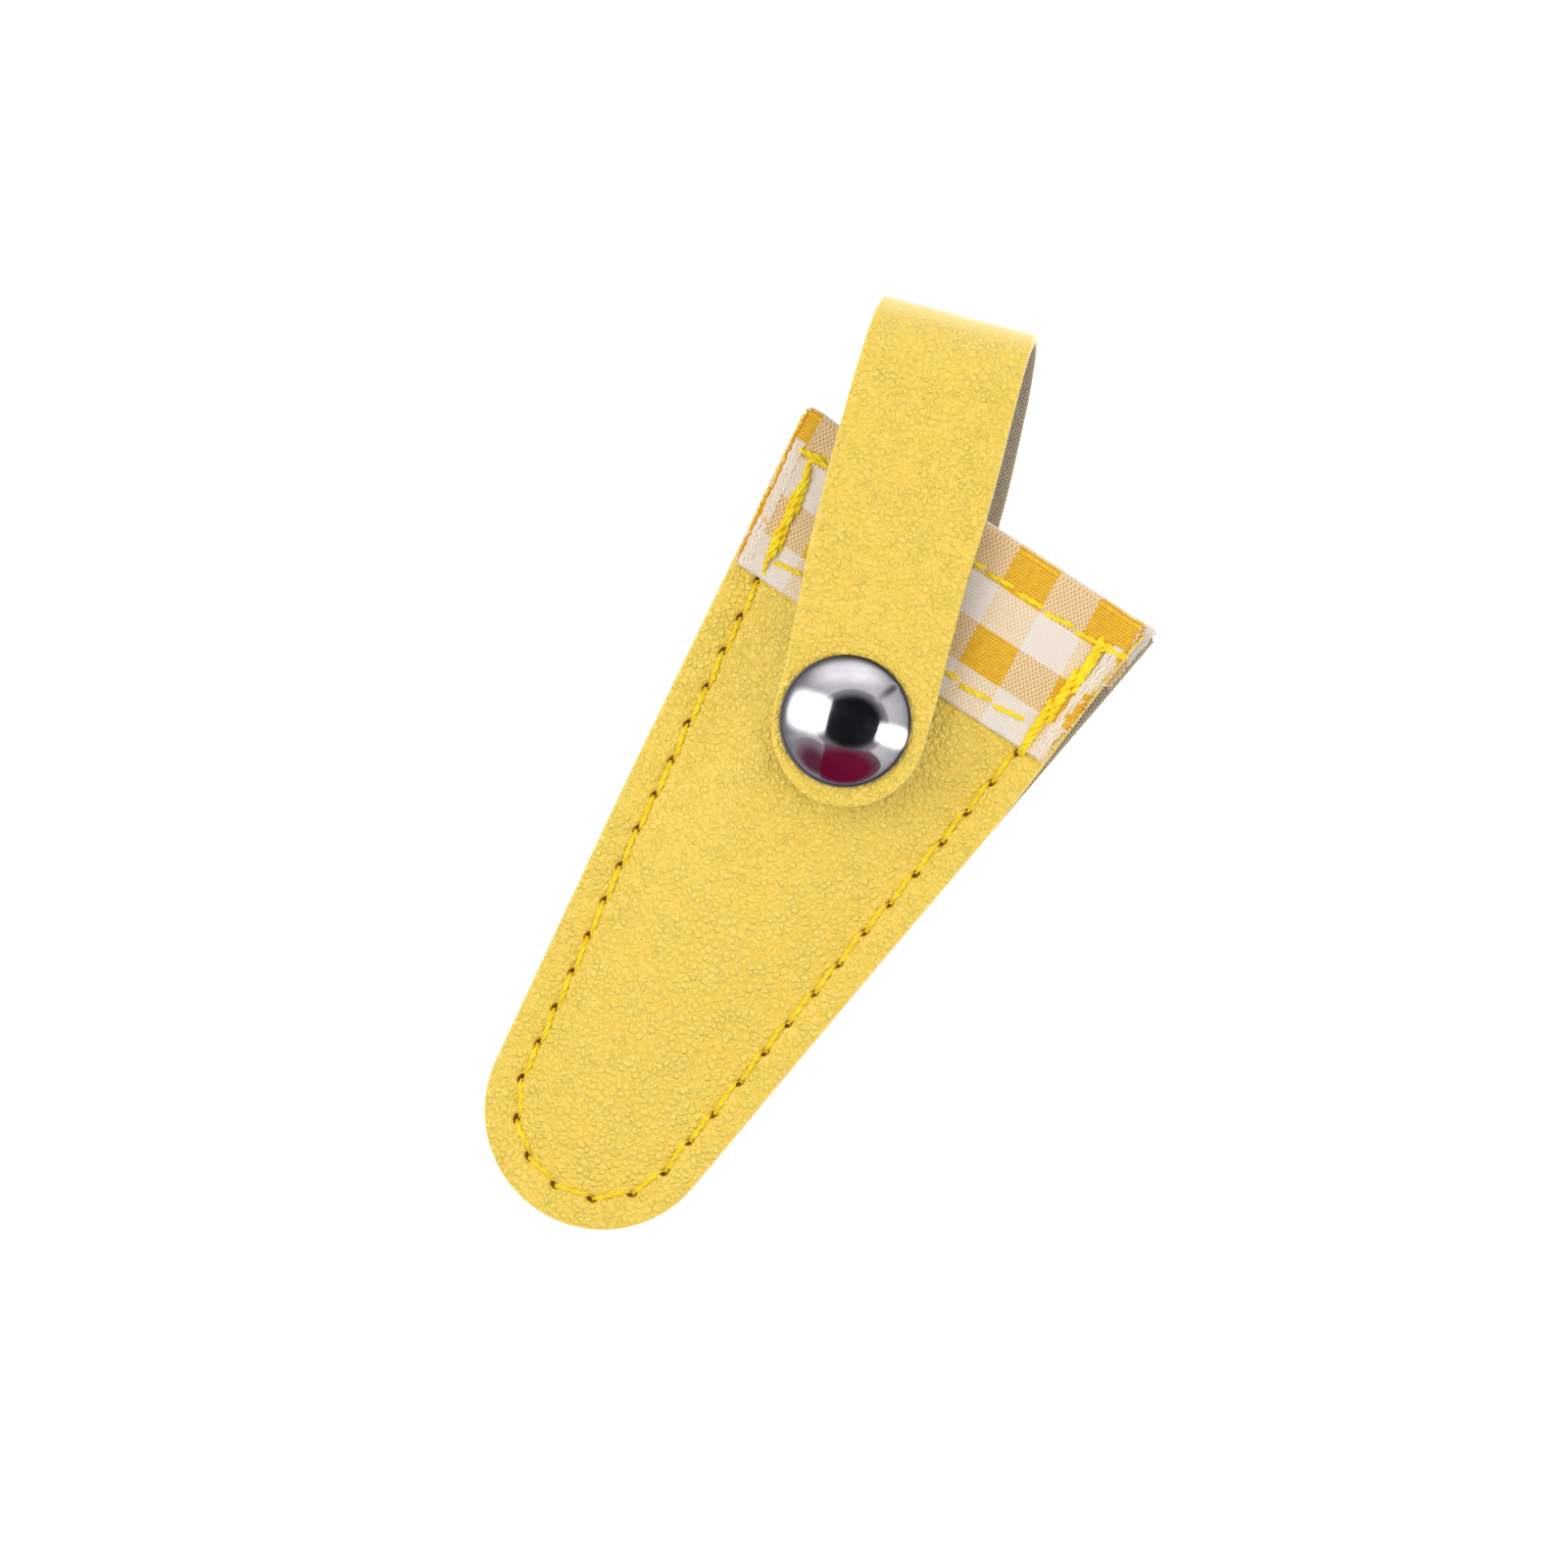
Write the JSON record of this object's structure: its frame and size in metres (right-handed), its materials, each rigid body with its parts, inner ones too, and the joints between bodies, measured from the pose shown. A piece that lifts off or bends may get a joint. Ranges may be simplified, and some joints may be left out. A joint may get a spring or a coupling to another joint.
{
  "type": "thread snips sheath",
  "caption": "Tapered leather sheath for thread snips, its mouth edged in checked cloth, with a swivelling strap that loops over the mouth and closes with a ring snap.",
  "frame": {"origin": "under the middle of the bounding box, on the plane the sheath lies on", "axes": "+Z out of the front face, +Y from the closed tip to the strap's loop, +X to the right of the front face"},
  "size_m": [0.0396, 0.0956, 0.0166],
  "materials": {
    "yellow_leather": "pebbled coated leather, satin",
    "gingham": "plain woven cotton check, matte",
    "yellow_thread": "twisted polyester thread, slight sheen",
    "polished_cap": "mirror polished",
    "plated_metal": "plated, bright",
    "plain_brass": "plain, slightly dull",
    "spring_wire": "bare wire"
  },
  "bodies": {
    "pouch": {"front_panel": "yellow_leather", "back_panel": "yellow_leather", "front_cuff": "gingham", "back_cuff": "gingham", "side_seam_needle_thread": "yellow_thread", "side_seam_bobbin_thread": "yellow_thread", "front_mouth_needle_thread": "yellow_thread", "front_mouth_bobbin_thread": "yellow_thread", "front_hem_needle_thread": "yellow_thread", "front_hem_bobbin_thread": "yellow_thread", "back_mouth_needle_thread": "yellow_thread", "back_mouth_bobbin_thread": "yellow_thread", "back_hem_needle_thread": "yellow_thread", "back_hem_bobbin_thread": "yellow_thread", "snap_stud": "plated_metal", "snap_stud_eyelet": "plain_brass", "rear_rivet_cap": "plated_metal", "rear_rivet_post": "plated_metal"},
    "strap_base": {"strap_rear_leg": "yellow_leather"},
    "strap_link_1": {"strap_loop_1": "yellow_leather"},
    "strap_link_2": {"strap_loop_2": "yellow_leather"},
    "strap_link_3": {"strap_loop_3": "yellow_leather"},
    "flap": {"strap_front_leg": "yellow_leather", "snap_cap": "polished_cap", "snap_cap_post": "plain_brass", "snap_socket": "plated_metal", "snap_socket_spring": "spring_wire"}
  },
  "joints": [
    {"name": "strap_swivel", "type": "hinge", "parent": "pouch", "child": "strap_base", "pos_m": [0, 0.00765, 0.00135], "axis": [0, 0, 1], "range_deg": [-128, 92]},
    {"name": "strap_open", "type": "hinge", "parent": "strap_base", "child": "strap_link_1", "pos_m": [-0.01102, 0.04158, 0.00135], "axis": [-0.9511, -0.309, 0], "range_deg": [0, 45], "deforming": ["snap_socket_spring"]},
    {"name": "strap_bend_2", "type": "hinge", "parent": "strap_link_1", "child": "strap_link_2", "pos_m": [-0.01213, 0.04498, 0.00492], "axis": [-0.9511, -0.309, 0], "range_deg": [0, 45]},
    {"name": "strap_bend_3", "type": "hinge", "parent": "strap_link_2", "child": "strap_link_3", "pos_m": [-0.01213, 0.04498, 0.00998], "axis": [-0.9511, -0.309, 0], "range_deg": [0, 45]},
    {"name": "strap_bend_4", "type": "hinge", "parent": "strap_link_3", "child": "flap", "pos_m": [-0.01102, 0.04158, 0.01355], "axis": [-0.9511, -0.309, 0], "range_deg": [0, 45]}
  ],
  "couplings": [
    {"joint": "strap_bend_2", "follows": "strap_open", "ratio": 1},
    {"joint": "strap_bend_3", "follows": "strap_open", "ratio": 1},
    {"joint": "strap_bend_4", "follows": "strap_open", "ratio": 1}
  ]
}
